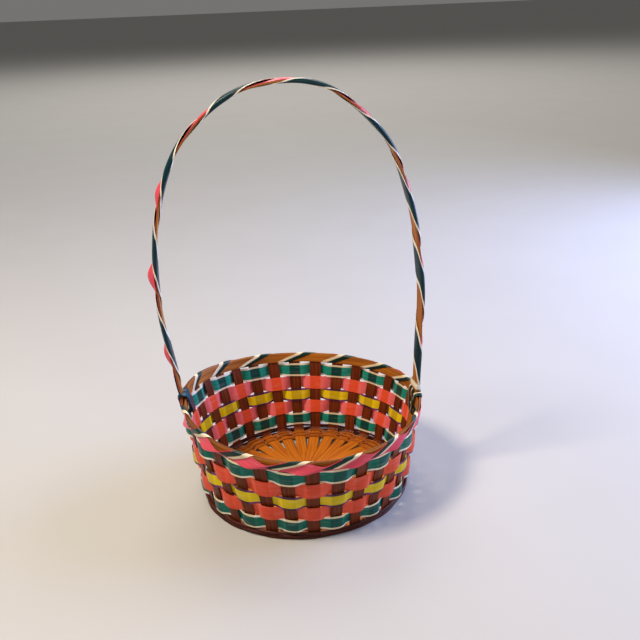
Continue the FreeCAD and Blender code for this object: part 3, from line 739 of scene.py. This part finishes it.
def make_rim_ribbon():
    """Ribbon along the outer band: held flat by the lashing, loose and sagging between."""
    angle = np.arange(STAKES * STEPS) * STAKE_ANGLE / STEPS
    across = np.linspace(-1, 1, 11)
    phase = lash_phase(angle)[:, None]
    held = 0.25 + 0.20 * across
    free = ((phase - held) % 1.0)
    free = np.clip((free - 0.16) / 0.68, 0, 1)
    hump = np.sin(math.pi * free) ** 2
    looseness = 0.55 + 0.45 * np.cos(angle + 0.9) + 0.15 * Wander(5, 12)(angle)
    looseness *= np.clip((np.abs(np.cos(angle)) - 0.1) / 0.2, 0, 1)
    loose = looseness[:, None] * hump
    middle = (BAND_LOW + BAND_HIGH) / 2 - 0.9
    half = RIM_RIBBON_HALF - LOOSE_NARROWING * loose
    sag = LOOSE_SAG * loose
    heights = middle - sag + across * half
    tuck = 0.3 * (1 - across ** 2)
    bulge = loose * (1.6 + 2.0 * (1 - across) / 2) + 0.9 * hump
    radii = wall(heights) + OUTER_FACE + RIBBON_THICK / 2 + 0.1 + bulge + tuck * hump
    piece = strip("rim_ribbon_strip", settle(around(angle[:, None], radii, heights)), RIBBON_THICK,
                  closed=True, start=2600.0, stake=np.full(len(angle), 9.0))
    return place(piece, RIM_PINK, "coral_ribbon", "rim_ribbon")


make_rim_band("rim_band_inner", False)
make_rim_band("rim_band_outer", True)
make_lashing()
make_rim_ribbon()


KNOT_TURNS = 3


def make_tie(node, side, material, spread, half_width, drop):
    """Strip wound to and fro over the rim at a handle foot, across the lashing."""
    reach = 0.95
    section = rounded_section(-OUTER_FACE - reach, OUTER_FACE + RIBBON_THICK + reach + 0.5,
                              BAND_LOW - drop, BAND_HIGH + reach, 2.0, SECTION_COUNT)

    def place_at(turns):
        return side * math.pi / 2 + spread * STAKE_ANGLE * math.cos(1.5 * math.pi * turns + 0.4)

    piece = wound_strip(node + "_strip", section, KNOT_TURNS, place_at, lambda angle: half_width,
                        0.5, 0.6)
    return place(piece, material, "lash_strip", node)


make_tie("rim_tie_left", -1, KNOT, 0.30, 4.6, 7.0)
make_tie("rim_tie_right", 1, LASH, 0.5, 4.4, 11.0)

# ---------------------------------------------------------------- handle

# centre line (x, z) of the bent band from the left rim over to the right one
ARCH = [(-117.0, 46.0), (-122.5, 80.0), (-127.5, 108.0), (-133.0, 150.0), (-139.5, 200.0),
        (-141.4, 239.0), (-139.0, 278.0), (-130.0, 328.0), (-112.0, 372.0), (-84.0, 406.0),
        (-48.0, 429.5), (0.0, 438.6), (40.0, 429.8), (77.0, 401.5), (104.0, 363.0),
        (121.5, 303.0), (129.5, 240.0), (130.0, 190.0), (127.5, 140.0), (124.8, 106.0),
        (121.0, 80.0), (116.0, 46.0)]


def smooth_curve(points, spacing):
    """Evenly spaced points on a smooth curve through a list of points."""
    points = np.array(points)
    padded = np.concatenate([[2 * points[0] - points[1]], points, [2 * points[-1] - points[-2]]])
    share = np.linspace(0, 1, 24, endpoint=False)[:, None]
    runs = []
    for a, b, c, d in zip(padded, padded[1:], padded[2:], padded[3:]):
        runs.append(0.5 * (2 * b + (c - a) * share + (2 * a - 5 * b + 4 * c - d) * share ** 2
                           + (3 * b - a - 3 * c + d) * share ** 3))
    fine = np.concatenate(runs + [points[-1:]])
    for _ in range(30):
        fine[1:-1] = (fine[:-2] + 2 * fine[1:-1] + fine[2:]) / 4
    steps = np.linalg.norm(np.diff(fine, axis=0), axis=1)
    way = np.concatenate([[0], np.cumsum(steps)])
    even = np.linspace(0, way[-1], int(way[-1] / spacing) + 1)
    return even, np.stack([np.interp(even, way, fine[:, k]) for k in range(2)], axis=1)


ARCH_WAY, ARCH_LINE = smooth_curve(ARCH, 1.5)
ARCH_TANGENT = np.gradient(ARCH_LINE, axis=0)
ARCH_TANGENT /= np.linalg.norm(ARCH_TANGENT, axis=1, keepdims=True)
TWIST_RIGHT = math.radians(14)


def arch_points(way, across, proud):
    """Points beside the handle's centre line: across is towards +Y, proud is outward."""
    x = np.interp(way, ARCH_WAY, ARCH_LINE[:, 0])
    z = np.interp(way, ARCH_WAY, ARCH_LINE[:, 1])
    tx = np.interp(way, ARCH_WAY, ARCH_TANGENT[:, 0])
    tz = np.interp(way, ARCH_WAY, ARCH_TANGENT[:, 1])
    twist = TWIST_RIGHT * np.clip(x / 110, 0, 1) * np.clip((440 - z) / 200, 0, 1)
    sin, cos = np.sin(twist), np.cos(twist)
    out = proud * cos - across * sin
    aside = across * cos + proud * sin
    points = np.stack([x - tz * out, aside + 0 * x, z + tx * out], axis=-1)
    rim = settle(np.stack([x, 0 * x, z], axis=-1)) - np.stack([x, 0 * x, z], axis=-1)
    hold = np.clip((130 - z) / 40, 0, 1)[..., None]
    return points + rim * hold


HANDLE_WIDTH = 12.5
HANDLE_THICK = 1.6
RIM_WAY = 63.0           # length of handle below the top of the rim
WRAP_FIRST = 104.0       # length from there to the first crossing of the wrap
WRAP_PITCH = 85.75
FREE_SHARE = 0.27
BLISTER = 3.9


def make_handle_band():
    """Bent wood band of the handle, from inside one wall over to the other."""
    across = np.array([-1, -0.93, -0.75, 0, 0.75, 0.93, 1]) * HANDLE_WIDTH / 2
    way = ARCH_WAY[:, None]
    points = arch_points(np.broadcast_to(way, (len(ARCH_WAY), 7)), across, 0.0)
    thick = HANDLE_THICK * np.array([0.5, 0.9, 1, 1, 1, 0.9, 0.5])
    piece = strip("handle_band_wood", points[:, ::-1], np.broadcast_to(thick, points.shape[:2]),
                  start=3300.0)
    return place(piece, BAND_WOOD, "band_wood", "handle_band")


# size of each bulge of the handle ribbon, from the left foot over to the right one
BLISTERS = (1.5, 2.0, 1.3, 0.4, 0.5, 0.6, 0.8, 1.0, 1.0)


def make_handle_ribbon():
    """Ribbon along the outer face of the handle, standing out between the wraps."""
    way = np.arange(RIM_WAY + 14, ARCH_WAY[-1] - RIM_WAY - 14, 1.5)
    across = np.linspace(-1, 1, 9)
    phase = ((way - RIM_WAY - WRAP_FIRST) / WRAP_PITCH) % 1.0
    free = np.clip(1 - np.abs(phase - 0.5) / FREE_SHARE, 0, 1)
    hump = np.sin(math.pi * free / 2) ** 2
    turn = np.floor((way - RIM_WAY - WRAP_FIRST) / WRAP_PITCH).astype(int) + 1
    size = np.take(BLISTERS, turn, mode="clip")
    blister = BLISTER * (hump * size)[:, None] * (1 - 0.85 * across ** 2)
    half = 5.4 - 0.5 * hump
    points = arch_points(np.broadcast_to(way[:, None], (len(way), 9)), across * half[:, None],
                         1.05 + blister)
    piece = strip("handle_ribbon_strip", points[:, ::-1], RIBBON_THICK, start=4300.0,
                  stake=np.full(len(way), 9.0))
    return place(piece, RIM_PINK, "coral_ribbon", "handle_ribbon")


WRAP_SIDE = 6.95
WRAP_OUT = 3.4
WRAP_IN = 1.9
WRAP_STEPS = 40
WRAP_HALF = 22.5


def make_handle_wrap():
    """Teal strip with cream edges wound loosely in long turns round the handle."""
    across = np.linspace(-1, 1, 9)
    start = RIM_WAY + WRAP_FIRST - WRAP_PITCH
    end = ARCH_WAY[-1] - RIM_WAY - 8
    wander = Wander(3, 9)
    rows = []
    for step in range(int((end - start) / WRAP_PITCH * WRAP_STEPS)):
        share = step / WRAP_STEPS
        turn = 2 * math.pi * share
        middle = start + WRAP_PITCH * share + 3.0 * wander(share * 0.7)
        half = WRAP_HALF + 2.0 * wander(share * 0.9 + 2)
        slack = 1 + 0.12 * wander(share * 1.3 + 1)
        out = math.copysign(abs(math.cos(turn)) ** 0.75, math.cos(turn))
        out = out * (WRAP_OUT if out > 0 else WRAP_IN) * slack
        aside = WRAP_SIDE * math.copysign(abs(math.sin(turn)) ** 0.75, math.sin(turn))
        puff = 1 + 0.07 * (1 - across ** 2)
        rows.append(arch_points(middle + across * half, aside * puff, out * puff))
    piece = strip("handle_wrap_strip", np.array(rows), RIBBON_THICK, start=5300.0)
    return place(piece, WRAP, "lash_strip", "handle_wrap")


FOOT_RING_HALF = 3.4


def make_foot_ring():
    """Cream strip wound once round the right handle foot, above the rim."""
    section = rounded_section(-7.2, 7.2, -2.6, 1.9, 1.0, SECTION_COUNT)
    across = np.linspace(-1, 1, 5)
    rows = []
    for step in range(SECTION_COUNT + 6):
        side, inward, normal_side, normal_in = section[step % SECTION_COUNT]
        middle = ARCH_WAY[-1] - RIM_WAY - 6 + 4.0 * step / SECTION_COUNT
        proud = 0.4 + 0.3 * (1 - across ** 2)
        way = middle + across * FOOT_RING_HALF
        rows.append(arch_points(way, side + normal_side * proud, -(inward + normal_in * proud)))
    piece = strip("foot_ring_strip", np.array(rows), RIBBON_THICK, start=6300.0)
    return place(piece, FOOT_STRIP, "cream_strip", "foot_ring_right")


make_handle_band()
make_handle_ribbon()
make_handle_wrap()
make_foot_ring()

# ---------------------------------------------------------------- floor, light and camera


def make_floor():
    """Plain pale studio floor with a faint mottle; sizes in metres."""
    mesh = bpy.data.meshes.new("studio_floor")
    reach = 60.0
    corners = [(-reach, -reach, 0), (reach, -reach, 0), (reach, reach, 0), (-reach, reach, 0)]
    mesh.from_pydata(corners, [], [(0, 1, 2, 3)])
    floor = bpy.data.objects.new("studio_floor", mesh)
    bpy.context.scene.collection.objects.link(floor)
    graph = Graph("pale_floor", 0.75)
    coordinates = graph.tree.nodes.new("ShaderNodeTexCoord")
    noise = graph.tree.nodes.new("ShaderNodeTexNoise")
    noise.inputs["Scale"].default_value = 6.0
    graph.feed(noise.inputs["Vector"], coordinates.outputs["Object"])
    mottle = graph.mix(noise.outputs[0], (0.44, 0.43, 0.41, 1), (0.47, 0.46, 0.44, 1))
    mesh.materials.append(graph.finish(mottle, noise.outputs[0], 0.05))


def add_light(name, place_at, target, size, energy, tint):
    """Square soft light at one point, facing another."""
    data = bpy.data.lights.new(name, "AREA")
    data.size = size
    data.energy = energy
    data.color = tint
    light = bpy.data.objects.new(name, data)
    bpy.context.scene.collection.objects.link(light)
    light.location = place_at
    light.rotation_euler = (Vector(target) - Vector(place_at)).to_track_quat("-Z", "Y").to_euler()


def add_camera():
    """Camera with the height, direction and slight tilt from which the basket is seen."""
    azimuth, down, roll = 0.0826, 0.3776, -0.0411
    forward = Vector((math.sin(azimuth) * math.cos(down), math.cos(azimuth) * math.cos(down),
                      -math.sin(down)))
    right = Vector((math.cos(azimuth), -math.sin(azimuth), 0))
    up = right.cross(forward)
    tilted_right = right * math.cos(roll) + up * math.sin(roll)
    tilted_up = up * math.cos(roll) - right * math.sin(roll)
    data = bpy.data.cameras.new("camera")
    data.lens = 45.16
    data.sensor_width = 36
    camera = bpy.data.objects.new("camera", data)
    bpy.context.scene.collection.objects.link(camera)
    axes = Matrix((tilted_right, tilted_up, -forward)).transposed()
    camera.matrix_world = Matrix.Translation((-0.0419, -0.7867, 0.5065)) @ axes.to_4x4()
    bpy.context.scene.camera = camera


make_floor()
add_light("key_warm", (-0.9, -0.35, 1.7), (0, 0, 0.1), 0.45, 37, (1.0, 0.87, 0.71))
add_light("soft_cool", (1.45, 0.40, 0.60), (0, 0, 0.12), 1.3, 52, (0.46, 0.56, 1.0))
add_light("back_fill", (0.2, 4.5, 4.0), (0, 2.5, 0), 4.0, 190, (1.0, 0.97, 0.93))
add_light("front_fill", (0.3, -1.9, 1.2), (0, 0, 0.1), 1.0, 8, (1.0, 0.90, 0.77))
world = bpy.data.worlds.new("studio")
world.use_nodes = True
world.node_tree.nodes["Background"].inputs["Color"].default_value = (0.88, 0.86, 0.84, 1)
world.node_tree.nodes["Background"].inputs["Strength"].default_value = 0.20
bpy.context.scene.world = world
bpy.context.scene.view_settings.view_transform = "Standard"
add_camera()
